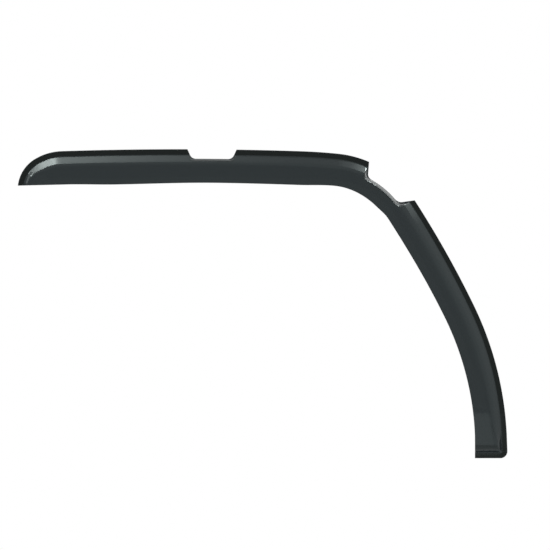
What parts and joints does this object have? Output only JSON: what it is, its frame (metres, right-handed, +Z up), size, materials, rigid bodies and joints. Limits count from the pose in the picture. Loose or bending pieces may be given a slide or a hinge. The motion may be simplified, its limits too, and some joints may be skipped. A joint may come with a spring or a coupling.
{
  "type": "window rain deflector",
  "caption": "Long smoked acrylic sheet with a flat taped flange, a sloping shoulder and a raised face that turns down a curved leg, cut away by notches at the top.",
  "frame": {"origin": "on the centre line of the top tape, on its adhesive side, at the middle of the length of the part", "axes": "+X towards the front of the vehicle along the length, +Z up, -Y out of the vehicle; the adhesive side of the tape lies in the plane Y = 0 and faces +Y, to the door"},
  "size_m": [0.9793, 0.0203, 0.618],
  "materials": {
    "smoked_acrylic": "polished, dark smoke tint, edges rounded and polished",
    "foam_tape": "matte closed-cell foam with adhesive on both sides"
  },
  "bodies": {
    "root": {"deflector_shell": "smoked_acrylic", "tape_rear": "foam_tape", "tape_top": "foam_tape", "tape_leg": "foam_tape", "tape_foot": "foam_tape"}
  },
  "joints": []
}
